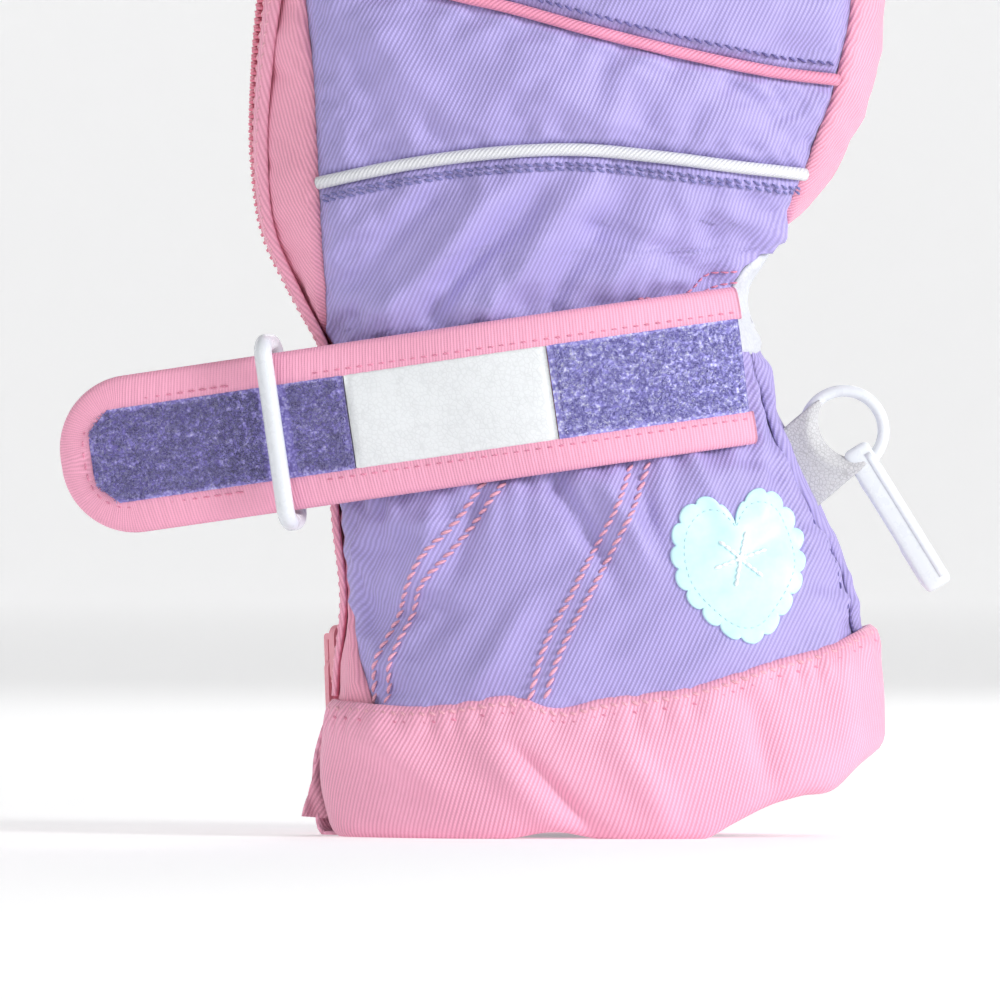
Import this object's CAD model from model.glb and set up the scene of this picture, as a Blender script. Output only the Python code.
import math
import random

import bpy
import numpy as np
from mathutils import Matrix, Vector


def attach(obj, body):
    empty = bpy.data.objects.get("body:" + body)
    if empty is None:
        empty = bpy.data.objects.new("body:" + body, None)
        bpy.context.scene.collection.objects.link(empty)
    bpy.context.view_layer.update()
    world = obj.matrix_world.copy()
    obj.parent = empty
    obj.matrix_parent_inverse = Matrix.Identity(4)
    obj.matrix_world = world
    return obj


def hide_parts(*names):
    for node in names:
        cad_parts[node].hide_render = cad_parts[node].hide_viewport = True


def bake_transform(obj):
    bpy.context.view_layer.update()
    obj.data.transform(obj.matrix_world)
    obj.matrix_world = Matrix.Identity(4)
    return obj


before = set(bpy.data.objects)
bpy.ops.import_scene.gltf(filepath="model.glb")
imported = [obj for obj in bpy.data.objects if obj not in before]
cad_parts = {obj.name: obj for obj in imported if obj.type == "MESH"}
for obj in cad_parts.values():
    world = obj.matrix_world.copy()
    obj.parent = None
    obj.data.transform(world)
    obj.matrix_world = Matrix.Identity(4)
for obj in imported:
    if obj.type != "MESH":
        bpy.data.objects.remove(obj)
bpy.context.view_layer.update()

MM = 0.001
rng = np.random.default_rng(7)
random.seed(7)

# ---- shape of the padded tube, in millimetres, as in the CAD model ---------------
HEIGHT = 252.6
BODY_Y = -7.3
DOME_START = 190.0
DOME_HALF_WIDTH = 69.0
DOME_HALF_DEPTH = 26.5
DOME_CENTRE_X = 15.5
DOME_LEAN = 0.06
TOP = HEIGHT - 0.0003
# height, left side, right side and half depth of the body
STATIONS = [
    (0, -38, 82, 26), (20, -39, 81, 26), (36, -38, 79.5, 25.5), (52, -36, 78, 24.5),
    (70, -37.5, 71, 22.5), (92, -38.8, 60.8, 20.8), (108, -39.9, 57, 20.8),
    (121, -46.5, 53.2, 21.5), (134, -52.7, 60.5, 23.5), (150, -55.2, 74, 25.5),
    (172, -55, 82, 26.5), (DOME_START, DOME_CENTRE_X - DOME_HALF_WIDTH, DOME_CENTRE_X + DOME_HALF_WIDTH,
                           DOME_HALF_DEPTH),
]


def smooth_line(points):
    """A smooth curve through a few points, returned as a function of the first value."""
    keys = np.array([p[0] for p in points], float)
    values = np.array([p[1] for p in points], float)
    slopes = np.gradient(values, keys)
    fine = np.linspace(keys[0], keys[-1], 600)
    spot = np.clip(np.searchsorted(keys, fine) - 1, 0, len(keys) - 2)
    gap = keys[spot + 1] - keys[spot]
    t = (fine - keys[spot]) / gap
    curve = ((1 + 2 * t) * (1 - t) ** 2 * values[spot] + t * (1 - t) ** 2 * gap * slopes[spot]
             + t * t * (3 - 2 * t) * values[spot + 1] + t * t * (t - 1) * gap * slopes[spot + 1])
    return lambda key: np.interp(key, fine, curve)


left_side = smooth_line([(s[0], s[1]) for s in STATIONS])
right_side = smooth_line([(s[0], s[2]) for s in STATIONS])
half_depth = smooth_line([(s[0], s[3]) for s in STATIONS])


def profile(z, inset=0.0):
    """Centre, half width and half depth of the tube at height z."""
    z = np.asarray(z, float)
    centre = (left_side(z) + right_side(z)) / 2
    wide = (right_side(z) - left_side(z)) / 2 - inset
    deep = half_depth(z) - inset
    top = HEIGHT - inset
    rise = np.clip((z - DOME_START) / (top - DOME_START), 0, 0.99999)
    cosine = np.sqrt(1 - rise ** 2)
    dome = z > DOME_START
    centre = np.where(dome, DOME_CENTRE_X + DOME_LEAN * (z - DOME_START), centre)
    wide = np.where(dome, (DOME_HALF_WIDTH - inset) * cosine ** 0.85, wide)
    deep = np.where(dome, (DOME_HALF_DEPTH - inset) * cosine ** 0.6, deep)
    return centre, wide, deep


def tube(theta, z, inset=0.0):
    """Points of the tube: theta 0 is the thumb side, a quarter turn the back of the hand."""
    centre, wide, deep = profile(z, inset)
    theta = np.asarray(theta, float)
    return np.stack([centre + wide * np.cos(theta), BODY_Y - deep * np.sin(theta),
                     np.broadcast_to(z, theta.shape).astype(float)], axis=-1)


def tube_normal(theta, z, inset=0.0):
    """Outward unit normals of the tube."""
    step = 0.15
    top = HEIGHT - inset - 0.02
    across = tube(theta + 0.01, z, inset) - tube(theta - 0.01, z, inset)
    high, low = np.minimum(z + step, top), np.minimum(z + step, top) - 2 * step
    up = tube(theta, high, inset) - tube(theta, low, inset)
    normal = np.cross(across, up)
    size = np.linalg.norm(normal, axis=-1, keepdims=True)
    normal = normal / np.maximum(size, 1e-9)
    middle = np.stack([profile(z)[0] + 0 * theta, BODY_Y + 0 * theta, z + 0 * theta - 1e-3], axis=-1)
    outward = tube(theta, z, inset) - middle
    flip = np.sign((normal * outward).sum(-1, keepdims=True))
    return normal * np.where(flip == 0, 1, flip)


def theta_at(x, z, palm=False, inset=0.0):
    """The angle round the tube of a place seen from the back or from the palm."""
    centre, wide, _ = profile(z, inset)
    angle = np.arccos(np.clip((x - centre) / wide, -1, 1))
    return 2 * math.pi - angle if palm else angle


# The strap crosses the wrist on a slant: its middle line's height at x 0 and slope, and half its width.
STRAP_Z, STRAP_SLOPE, STRAP_HALF = 97.3, 0.144, 17.6


def strap_level(x):
    """Height of the strap's middle line at x."""
    return STRAP_Z + STRAP_SLOPE * np.asarray(x, float)


# ---- small noise and creases ------------------------------------------------------
waves = [(rng.normal(size=2), rng.uniform(0, 6.28)) for _ in range(24)]


def ripple(u, v, scale):
    """Soft seeded noise between about -1 and 1, for features of the given size."""
    total = 0
    for direction, phase in waves:
        total = total + np.sin((u * direction[0] + v * direction[1]) * 2.2 / scale + phase)
    return total / 5.0


FOLD_GAIN = 2.3
BACK_SETTLE, SOFT_SETTLE = 0.8, 0.3  # share of the cloth run's movement that each relief carries
# creases on the back of the hand: x, z at each end, width, height (negative is a valley)
CREASES = [
    (-2, 143, -29, 115, 5.0, 1.3), (7, 144, -18, 116, 3.6, -1.1), (16, 143, -6, 117, 4.6, 1.1),
    (-15, 143, -37, 122, 3.6, -0.9), (27, 144, 8, 118, 3.8, -1.0), (33, 138, 20, 119, 4.4, 0.9),
    (18, 136, 50, 122, 4.0, -0.8), (38, 141, 62, 134, 4.6, 0.8), (-30, 140, -40, 128, 3.4, 0.7),
    (10, 82, 22, 58, 3.4, -1.2), (18, 82, 30, 62, 3.6, 1.1), (27, 82, 33, 66, 2.8, -0.8),
    (-14, 78, -24, 52, 4.0, 0.8), (-3, 80, -12, 60, 3.2, -0.7), (40, 84, 47, 72, 3.4, 0.8),
    (58, 80, 66, 60, 3.6, -0.8), (-30, 74, -33, 40, 3.5, -0.5), (5, 52, -8, 34, 4.0, 0.8),
    (44, 168, 70, 152, 5.0, -0.7), (-38, 188, -12, 158, 6.0, 0.7), (-36, 176, -26, 156, 4.0, -0.5),
    (0, 168, 24, 158, 5.0, 0.6), (12, 215, 44, 196, 8.0, 0.8), (-22, 228, 6, 204, 8.0, -0.6),
]


def crease_field(x, z, creases):
    """Height of a list of folds, each fading at its ends and wandering a little."""
    total = np.zeros_like(x)
    for x0, z0, x1, z1, width, height in creases:
        along = np.array([x1 - x0, z1 - z0], float)
        length = np.linalg.norm(along)
        along /= length
        run = (x - x0) * along[0] + (z - z0) * along[1]
        off = (x - x0) * along[1] - (z - z0) * along[0] + 0.8 * np.sin(run / 6.0 + x0)
        ends = 1 / (1 + np.exp(-(run + 1) / 2.0)) / (1 + np.exp((run - length - 1) / 2.5))
        total += FOLD_GAIN * height * np.exp(-(off / width) ** 2 * 2.2) * ends
    return total


def back_relief(x, z, theta):
    """Folds of the padded back, with gathers where the strap pulls the wrist in."""
    grain = ripple((x * 0.8 + z * 0.6), (z * 0.8 - x * 0.6) * 2.4, 12.0) * 0.35
    beside = np.abs(z - strap_level(x)) - STRAP_HALF
    near = np.exp(-np.clip(beside, 0, 60) / 7.0)
    gathers = 0.75 * np.sin(x * 0.95 + 1.6 * np.sin(x * 0.21)) * near
    return crease_field(x, z, CREASES) + grain + gathers + settled(theta, z) * BACK_SETTLE


def soft_relief(x, z, theta):
    """Gentle unevenness of the plainer pieces."""
    broad, fine = ripple(theta * 40, z, 13.0), ripple(theta * 40, z * 0.7, 5.0)
    return broad * 0.35 + fine * 0.12 + settled(theta, z) * SOFT_SETTLE


# ---- mesh helpers -------------------------------------------------------------------
NO_SEAM = 5.0  # the seam distance of a piece with no seam to darken, in millimetres


def mesh_object(name, points, faces, cloth=None):
    """An object from points or a grid of points in millimetres, with optional cloth coordinates."""
    mesh = bpy.data.meshes.new(name)
    mesh.from_pydata([tuple(p * MM) for p in np.asarray(points, float).reshape(-1, 3)], [], faces)
    if cloth is not None:
        layer = mesh.attributes.new("cloth", "FLOAT_VECTOR", "POINT")
        layer.data.foreach_set("vector", np.asarray(cloth, float).astype(np.float32).ravel())
    mesh.polygons.foreach_set("use_smooth", [True] * len(mesh.polygons))
    mesh.update()
    piece = bpy.data.objects.new(name, mesh)
    bpy.context.scene.collection.objects.link(piece)
    return piece


def grid_faces(rows, columns, closed=False, flip=False):
    """Quads between rows of points; closed joins each row's end to its start."""
    faces = []
    for i in range(rows - 1):
        for j in range(columns if closed else columns - 1):
            k = (j + 1) % columns
            quad = (i * columns + j, i * columns + k, (i + 1) * columns + k, (i + 1) * columns + j)
            faces.append(quad[::-1] if flip else quad)
    return faces


def tube_faces(rings, sides, base=0, open_start=False, flip_ends=False):
    """Quads round a tube of rings, with a face over each end."""
    ends = [tuple(range(sides - 1, -1, -1)), tuple(range((rings - 1) * sides, rings * sides))]
    if flip_ends:
        ends = [face[::-1] for face in ends]
    faces = grid_faces(rings, sides, closed=True) + ends[open_start:]
    return [tuple(base + corner for corner in face) for face in faces]


def ring_faces(rings, sides):
    """Quads round a tube whose last ring joins its first."""
    last = (rings - 1) * sides
    seam = [(last + k, last + (k + 1) % sides, (k + 1) % sides, k) for k in range(sides)]
    return grid_faces(rings, sides, closed=True) + seam


def run_length(path):
    """Distance along a path at each of its points."""
    return np.concatenate([[0], np.cumsum(np.linalg.norm(np.diff(path, axis=0), axis=1))])


def cloth_coords(points, edge=None, cut_flat=False):
    """Distances along the cloth in both directions, and the distance to the nearest seam."""
    if edge is None:
        edge = np.full(points.shape[:2], NO_SEAM)
    if cut_flat:
        return np.stack([points[..., 0] * 1.05, points[..., 2], edge], axis=-1)
    across = np.zeros(points.shape[:2])
    across[:, 1:] = np.cumsum(np.linalg.norm(np.diff(points, axis=1), axis=2), axis=1)
    middle = points.shape[1] // 2
    across -= across[:, middle:middle + 1]
    along = np.zeros(points.shape[0])
    along[1:] = np.cumsum(np.linalg.norm(np.diff(points[:, middle], axis=0), axis=1))
    along = np.broadcast_to(along[:, None] + points[0, middle, 2], across.shape)
    return np.stack([across, along, edge], axis=-1)


def thicken(piece, depth, offset=-1.0):
    """Gives a surface its thickness: offset -1 inwards, 1 outwards, 0 both ways."""
    solid = piece.modifiers.new("thickness", "SOLIDIFY")
    solid.thickness, solid.offset = depth * MM, offset
    return piece


def finish_piece(piece, body, material, slot, *nodes):
    """Gives a piece its material, body and slot, and names the CAD nodes it stands for."""
    piece.data.materials.append(material)
    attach(piece, body)
    if nodes:
        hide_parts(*nodes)
    return piece


def sewn_panel(name, left, right, low, high, relief, tuck=1.1, lift=0.0, pitch=1.25, closed_top=False):
    """A padded panel between two side lines and two cross seams, tucked in at its edges."""
    middle_z = float(np.mean([low(10.0), high(10.0)]))
    arc = abs(float(right(np.array(middle_z)) - left(np.array(middle_z)))) * 45
    tall = max(float(high(x) - low(x)) for x in (-40.0, 0.0, 40.0, 70.0))
    columns, rows = int(max(arc, 8) / pitch) + 2, int(max(tall, 8) / pitch) + 2
    s, t = np.meshgrid(np.linspace(0, 1, columns), np.linspace(0, 1, rows))
    if closed_top:
        t = 1 - (1 - t) ** 1.7
    z = low(np.zeros_like(s)) + (high(np.zeros_like(s)) - low(np.zeros_like(s))) * t
    for _ in range(14):
        theta = left(z) + (right(z) - left(z)) * s
        centre, wide, _ = profile(z)
        x = centre + wide * np.cos(theta)
        z = 0.5 * z + 0.5 * (low(x) + (high(x) - low(x)) * t)
    points, normals = tube(theta, z), tube_normal(theta, z)
    side = np.linalg.norm(points[:, -1] - points[:, 0], axis=1, keepdims=True) + 1e-6
    side = np.maximum(side, np.abs(theta[:, -1:] - theta[:, :1]) * wide[:, :1] * 0.8)
    height = np.abs(z[-1] - z[0])[None, :]
    seam_share = t if closed_top else np.minimum(t, 1 - t)
    edge = np.minimum(np.minimum(s, 1 - s) * side, seam_share * height)
    fade = np.clip(edge / 3.2, 0, 1)
    fade = fade * fade * (3 - 2 * fade)
    gather = np.sin((points[..., 0] + points[..., 2]) * 1.15 + 2 * np.sin(points[..., 0] * 0.3))
    pucker = 0.28 * np.exp(-((edge - 3.0) / 3.0) ** 2) * gather
    out = lift + relief(points[..., 0], z, theta) * (0.25 + 0.75 * fade) - tuck * (1 - fade) + pucker
    moved = points + normals * out[..., None]
    faces = grid_faces(rows, columns)
    flat = moved.reshape(-1, 3)
    sample = faces[len(faces) // 2]
    a, b, c = flat[list(sample[:3])]
    if np.dot(np.cross(b - a, c - a), normals.reshape(-1, 3)[sample[0]]) < 0:
        faces = [face[::-1] for face in faces]
    coords = cloth_coords(points, edge, cut_flat=relief is back_relief)
    return thicken(mesh_object(name, flat, faces, coords), 1.2)


def sweep_tube(name, path, radius, normals, sides=14):
    """A round cord along points, in millimetres."""
    tangent = np.gradient(path, axis=0)
    tangent /= np.linalg.norm(tangent, axis=1, keepdims=True)
    side = np.cross(tangent, normals)
    side /= np.linalg.norm(side, axis=1, keepdims=True)
    up = np.cross(side, tangent)
    turns = np.linspace(0, 2 * math.pi, sides, endpoint=False)[None, :, None]
    rings = path[:, None] + radius * (side[:, None] * np.cos(turns) + up[:, None] * np.sin(turns))
    run, around = np.meshgrid(run_length(path), turns.ravel() * radius, indexing="ij")
    coords = np.stack([run, around, np.full_like(run, NO_SEAM)], axis=-1)
    return mesh_object(name, rings, tube_faces(len(path), sides), coords)


def resample(path, step):
    """Evenly spaced rows along a path whose first three columns are its points."""
    run = run_length(path[:, :3])
    count = max(int(run[-1] / step), 2)
    marks = np.linspace(0, run[-1], count + 1)
    return np.stack([np.interp(marks, run, path[:, i]) for i in range(path.shape[1])], axis=1)


TWIST_LEAN = 14 / 13  # sideways lean of a twisted stitch, by its radius


def stitch_row(name, path, normals, material, body, slot, pitch=2.5, length=2.0, radius=0.26, twist=False):
    """A row of short sunken stitches along a path that lies on the cloth."""
    route = resample(np.hstack([path, normals]), pitch)
    lean = radius * TWIST_LEAN if twist else 0.05
    points, faces, coords = [], [], []
    sides, rings = 6, 5
    for here, following in zip(route, route[1:]):
        up = here[3:] / np.linalg.norm(here[3:])
        along = following[:3] - here[:3]
        along /= np.linalg.norm(along)
        side = np.cross(along, up)
        middle = (here[:3] + following[:3]) / 2
        faces += tube_faces(rings, sides, base=len(points))
        for share in np.linspace(-1, 1, rings):
            swell = math.sqrt(max(1 - share ** 2 * 0.86, 0.02))
            arch = radius * (1.15 * (1 - share ** 2) - 0.35)
            centre = middle + along * share * length / 2 + up * arch + side * share * lean
            for turn in np.linspace(0, 2 * math.pi, sides, endpoint=False):
                points.append(centre + radius * swell * (side * math.cos(turn) + up * math.sin(turn)))
                coords.append((share * length / 2, turn * radius, NO_SEAM))
    piece = mesh_object(name, points, faces, coords)
    return finish_piece(piece, body, material, slot)


# ---- materials ------------------------------------------------------------------------
class Shade:
    """A node material with a few short helpers."""

    def __init__(self, name, color, roughness=0.6, specular=0.3, sheen=0.0, sheen_rough=0.4, coat=0.0):
        self.material = bpy.data.materials.new(name)
        self.material.use_nodes = True
        self.tree = self.material.node_tree
        self.shader = self.tree.nodes["Principled BSDF"]
        self.shader.inputs["Base Color"].default_value = (*color, 1)
        self.shader.inputs["Roughness"].default_value = roughness
        self.shader.inputs["Specular IOR Level"].default_value = specular
        self.shader.inputs["Sheen Weight"].default_value = sheen
        self.shader.inputs["Sheen Roughness"].default_value = sheen_rough
        self.shader.inputs["Coat Weight"].default_value = coat

    def node(self, kind, **settings):
        made = self.tree.nodes.new(kind)
        for key, value in settings.items():
            setattr(made, key, value)
        return made

    def link(self, source, target):
        self.tree.links.new(source, target)

    def math(self, operation, first, second=0.0):
        made = self.node("ShaderNodeMath", operation=operation)
        for socket, value in zip(made.inputs, (first, second)):
            if isinstance(value, (int, float)):
                socket.default_value = value
            else:
                self.link(value, socket)
        return made.outputs[0]

    def add(self, first, second):
        return self.math("ADD", first, second)

    def times(self, first, second):
        return self.math("MULTIPLY", first, second)

    def sine(self, value):
        return self.math("SINE", value)

    def cloth(self):
        """The cloth coordinates, as a vector and as distances across, along and to the seam."""
        place = self.node("ShaderNodeAttribute", attribute_name="cloth")
        parts = self.node("ShaderNodeSeparateXYZ")
        self.link(place.outputs["Vector"], parts.inputs[0])
        return place.outputs["Vector"], parts.outputs

    def noise(self, scale, detail=3.0, rough=0.55, vector=None):
        made = self.node("ShaderNodeTexNoise")
        made.inputs["Scale"].default_value = scale
        made.inputs["Detail"].default_value = detail
        made.inputs["Roughness"].default_value = rough
        if vector is None:
            vector = self.node("ShaderNodeTexCoord").outputs["Object"]
        self.link(vector, made.inputs["Vector"])
        return made.outputs["Fac"]

    def cells(self, scale, feature="F1", vector=None):
        made = self.node("ShaderNodeTexVoronoi", feature=feature)
        made.inputs["Scale"].default_value = scale
        if vector is None:
            vector = self.node("ShaderNodeTexCoord").outputs["Object"]
        self.link(vector, made.inputs["Vector"])
        return made.outputs["Distance"]

    def ramp(self, value, stops):
        """Colours between (position, colour) stops."""
        made = self.node("ShaderNodeValToRGB")
        for element, (position, color) in zip(made.color_ramp.elements, (stops[0], stops[-1])):
            element.position, element.color = position, (*color, 1)
        for position, color in stops[1:-1]:
            made.color_ramp.elements.new(position).color = (*color, 1)
        self.link(value, made.inputs[0])
        return made.outputs[0]

    def paint(self, color):
        self.link(color, self.shader.inputs["Base Color"])

    def bump(self, height, strength, distance):
        made = self.node("ShaderNodeBump")
        made.inputs["Strength"].default_value = strength
        made.inputs["Distance"].default_value = distance * MM
        self.link(height, made.inputs["Height"])
        self.link(made.outputs[0], self.shader.inputs["Normal"])


def shift(color, factor):
    """A colour made darker or lighter."""
    return tuple(min(channel * factor, 1.0) for channel in color)


def twill(name, color, pitch=0.95, angle=64.0, contrast=0.34, sheen=0.18, roughness=0.5):
    """Twill: pale raised diagonal wales with small pips along them, over a darker ground."""
    shade = Shade(name, color, roughness=roughness, specular=0.34, sheen=sheen, sheen_rough=0.35)
    _, (u, v, edge) = shade.cloth()
    lean = math.radians(angle)
    across = shade.math("SUBTRACT", shade.times(u, math.sin(lean)), shade.times(v, math.cos(lean)))
    along = shade.add(shade.times(u, math.cos(lean)), shade.times(v, math.sin(lean)))
    turn = 2 * math.pi / pitch
    wobble = shade.times(shade.noise(45.0, 2.0), 1.6)
    wale = shade.sine(shade.add(shade.times(across, turn), wobble))
    pips = shade.sine(shade.add(shade.times(along, turn * 1.7), shade.times(across, turn * 0.5)))
    pips = shade.times(pips, shade.add(shade.times(wale, 0.5), 0.5))
    height = shade.add(shade.add(shade.times(wale, 0.36), shade.times(pips, 0.14)), 0.5)
    cloudy = shade.times(shade.noise(32.0, 4.0), 0.55)
    value = shade.add(shade.times(height, 0.6), cloudy)
    seam = shade.times(shade.math("MAXIMUM", shade.math("SUBTRACT", 2.2, edge), 0.0), -0.09)
    value = shade.add(value, seam)
    light = tuple(min(channel * (1 + contrast * 0.55) + 0.07 * contrast, 1.0) for channel in color)
    shade.paint(shade.ramp(value, [(0.14, shift(color, 1 - contrast)), (0.55, color), (0.88, light)]))
    shade.bump(height, 0.7, 0.2)
    return shade.material


def grosgrain(name, color, pitch=0.68):
    """Ribbed ribbon with its ribs across the tape."""
    shade = Shade(name, color, roughness=0.55, specular=0.3, sheen=0.3, sheen_rough=0.35)
    _, (u, v, _) = shade.cloth()
    wobble = shade.times(shade.noise(60.0, 2.0), 1.2)
    rib = shade.sine(shade.add(shade.times(u, 2 * math.pi / pitch), wobble))
    fine = shade.sine(shade.times(v, 2 * math.pi / 0.45))
    height = shade.add(shade.times(rib, 0.36), shade.times(fine, 0.1))
    height = shade.add(height, 0.5)
    value = shade.add(shade.times(height, 0.6), shade.times(shade.noise(30.0, 4.0), 0.5))
    shade.paint(shade.ramp(value, [(0.1, shift(color, 0.74)), (0.5, color), (0.95, shift(color, 1.16))]))
    shade.bump(height, 0.6, 0.15)
    return shade.material


def leather(name, color, grain=950.0, crackle=0.5, roughness=0.5, dark=0.86):
    """Coated faux leather with a pebbled or crackled grain."""
    shade = Shade(name, color, roughness=roughness, specular=0.45)
    pebble = shade.cells(grain, "DISTANCE_TO_EDGE")
    crack = shade.math("MINIMUM", shade.times(pebble, 6.0), 1.0)
    broad = shade.noise(260.0, 5.0, 0.65)
    value = shade.add(shade.times(crack, crackle), shade.times(broad, 1 - crackle))
    shade.paint(shade.ramp(value, [(0.2, shift(color, dark)), (0.62, color)]))
    shade.bump(value, 0.5, 0.22)
    return shade.material


def pile(name, dark, mid, light, scale, roughness=0.8, sheen=0.6, distance=0.35):
    """Short fibres: a tangle of light ends over a dark ground."""
    shade = Shade(name, mid, roughness=roughness, specular=0.25, sheen=sheen, sheen_rough=0.5)
    curls = shade.cells(scale, "F1")
    tangle = shade.noise(scale * 0.55, 5.0, 0.75)
    value = shade.add(shade.times(curls, -0.55), shade.times(tangle, 1.35))
    shade.paint(shade.ramp(value, [(0.2, dark), (0.42, mid), (0.72, light)]))
    shade.bump(value, 0.8, distance)
    return shade.material


def plastic(name, color, roughness=0.28):
    """Glossy moulded plastic with faint flow marks and handling wear."""
    shade = Shade(name, color, roughness=roughness, specular=0.5, coat=0.15)
    shade.shader.inputs["Subsurface Weight"].default_value = 0.15
    shade.shader.inputs["Subsurface Radius"].default_value = (0.002, 0.002, 0.002)
    haze = shade.noise(140.0, 4.0)
    shade.paint(shade.ramp(haze, [(0.3, shift(color, 0.965)), (0.7, color)]))
    wear = shade.add(shade.times(shade.noise(420.0, 3.0), 0.16), roughness - 0.08)
    shade.link(wear, shade.shader.inputs["Roughness"])
    shade.bump(shade.noise(700.0, 2.0), 0.12, 0.05)
    return shade.material


def thread(name, color):
    """Twisted sewing thread."""
    shade = Shade(name, color, roughness=0.5, specular=0.35, sheen=0.2)
    _, (u, v, _) = shade.cloth()
    ply = shade.sine(shade.add(shade.times(u, 9.0), shade.times(v, 7.0)))
    value = shade.add(shade.times(ply, 0.25), shade.noise(90.0, 2.0))
    shade.paint(shade.ramp(value, [(0.2, shift(color, 0.72)), (0.75, shift(color, 1.1))]))
    shade.bump(value, 0.4, 0.08)
    return shade.material


def fleece(name, color):
    """Soft brushed lining."""
    shade = Shade(name, color, roughness=0.9, specular=0.15, sheen=0.8, sheen_rough=0.6)
    value = shade.add(shade.noise(320.0, 6.0, 0.7), shade.times(shade.cells(500.0), -0.4))
    shade.paint(shade.ramp(value, [(0.2, shift(color, 0.75)), (0.7, shift(color, 1.1))]))
    shade.bump(value, 0.9, 0.5)
    return shade.material


LAVENDER = (0.39, 0.335, 0.665)
PINK = (0.86, 0.365, 0.50)
PINK_PALE = (0.88, 0.39, 0.54)
lavender_twill = twill("lavender_twill", LAVENDER)
pink_twill = twill("pink_twill", PINK, angle=70.0)
hem_twill = twill("hem_twill", PINK_PALE, angle=66.0)
piping_pink = twill("piping_pink", (0.84, 0.30, 0.45), pitch=0.8, angle=50.0)
piping_white = twill("piping_white", (0.72, 0.73, 0.76), pitch=0.8, angle=50.0, contrast=0.2)
ribbon = grosgrain("pink_grosgrain", PINK_PALE)
webbing = grosgrain("pink_webbing", PINK, pitch=1.1)
white_leather = leather("white_leather", (0.80, 0.825, 0.84), crackle=0.22, roughness=0.42)
patch_leather = leather("patch_leather", (0.62, 0.64, 0.69), crackle=0.25, roughness=0.45)
palm_leather = leather("palm_leather", (0.70, 0.71, 0.76), grain=900.0)
tab_leather = leather("tab_leather", (0.60, 0.60, 0.62), grain=1300.0, crackle=0.55, dark=0.72)
loop_pile = pile("loop_pile", (0.19, 0.155, 0.46), (0.31, 0.27, 0.70), (0.62, 0.58, 0.92), 1500.0)
hook_pile = pile("hook_tape", (0.22, 0.20, 0.54), (0.38, 0.36, 0.78), (0.80, 0.80, 0.97), 1300.0,
                 roughness=0.6, sheen=0.3, distance=0.2)
white_plastic = plastic("white_plastic", (0.76, 0.79, 0.83))
coil_plastic = plastic("zip_coil", (0.78, 0.20, 0.30), 0.35)
enamel = plastic("zip_enamel", (0.80, 0.36, 0.43), 0.3)
zip_cloth = grosgrain("zip_tape", (0.80, 0.25, 0.36), pitch=0.8)
thread_pink = thread("thread_pink", (0.80, 0.28, 0.42))
thread_pale = thread("thread_pale_pink", (0.92, 0.45, 0.55))
thread_rose = thread("thread_rose", (0.86, 0.42, 0.54))
thread_violet = thread("thread_violet", (0.16, 0.14, 0.38))
thread_slate = thread("thread_slate", (0.20, 0.19, 0.44))
lining_fleece = fleece("fleece", (0.55, 0.50, 0.78))

# ---- seam lines seen from the back: side seams as (z, x), cross seams as (x, z) ------
gusset_x = smooth_line([
    (-5, -29), (14, -30), (30, -31), (40, -34.2), (52, -36), (74, -37.7), (98, -39), (112, -41.5), (122, -41.6),
    (134, -42.3), (149, -43), (172, -44.3), (188, -46), (205, -46.5), (222, -38), (238, -24), (247, -8),
    (251.5, 8)])
band_x = smooth_line([
    (130, 60), (134, 61), (143, 63.8), (148, 66.3), (156, 69), (163, 71.7), (172, 74), (181, 76), (190, 76.8),
    (205, 75.5), (220, 69), (234, 57), (245, 42), (251.5, 28)])
patch_x = smooth_line([
    (90, 50), (104, 48.0), (112, 48.4), (120, 49.6), (125, 52.2), (129, 56.2), (133, 60.6), (138, 62.4),
    (148, 66.3)])
side_seam_x = smooth_line([
    (0, 83), (30, 78.5), (46, 77.2), (54, 76.0), (62, 73.6), (68, 70.2), (76, 65.5), (92, 58.5), (110, 54)])
white_seam = smooth_line([
    (-60, 141.5), (-42, 145.3), (-21, 149.4), (-2, 151.7), (15.7, 152.3), (33, 150.8), (51, 148.7),
    (66.5, 147.3), (90, 145)])
pink_seam = smooth_line([
    (-60, 201), (-40, 195.5), (-10, 186), (-2, 184.2), (19, 178.4), (40, 173.3), (61.7, 169.3), (73.5, 168.2),
    (95, 167.5)])
hem_top = smooth_line([
    (-60, 29.5), (-42, 29.8), (-29, 28.7), (-20, 28.4), (-9, 29.8), (-1, 30.9), (13, 28.4), (20, 30.2),
    (31, 31.5), (43, 33.5), (51, 36), (61, 39.1), (68, 40.9), (74.5, 43.3), (80, 46.2), (95, 49)])
hem_low = smooth_line([
    (-60, 0.5), (-38, 0.2), (-20, 0.3), (0, 0.9), (10, 2.4), (20, 0.8), (36, 0.3), (43.5, 0.9), (48.6, 3.8),
    (57, 8.0), (64.4, 10.2), (71.7, 11.6), (76.8, 16.7), (83.2, 20.2), (95, 22)])
PALM_SEAM_INSET = 4.0  # the gusset's palm seam lies this far in from its back seam
PALM_WRIST_Z = 106.5   # where the palm leather meets the gauntlet
BAND_LOW_Z = 131


def level(height):
    """A cross seam at one height."""
    return lambda x: np.full_like(np.asarray(x, float), height)


def back_left(z):
    return theta_at(gusset_x(z), z)


def back_right_upper(z):
    return theta_at(band_x(z), z)


def wrist_right(z):
    """Thumb-side edge of the wrist panel: the leather patch, then the band."""
    return theta_at(patch_x(z), z)


def gauntlet_right(z):
    return theta_at(side_seam_x(z), z)


def palm_left(z):
    return theta_at(gusset_x(z) + PALM_SEAM_INSET, z, palm=True)


def band_palm_side(z):
    return theta_at(band_x(z), z, palm=True)


def palm_right(z):
    """Thumb-side edge of the palm: the band, and below it the thumb-side line of the body."""
    body_side = profile(z)[0] + profile(z)[1] - 0.02
    return theta_at(np.where(z < BAND_LOW_Z, body_side, band_x(z)), z, palm=True)


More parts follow.
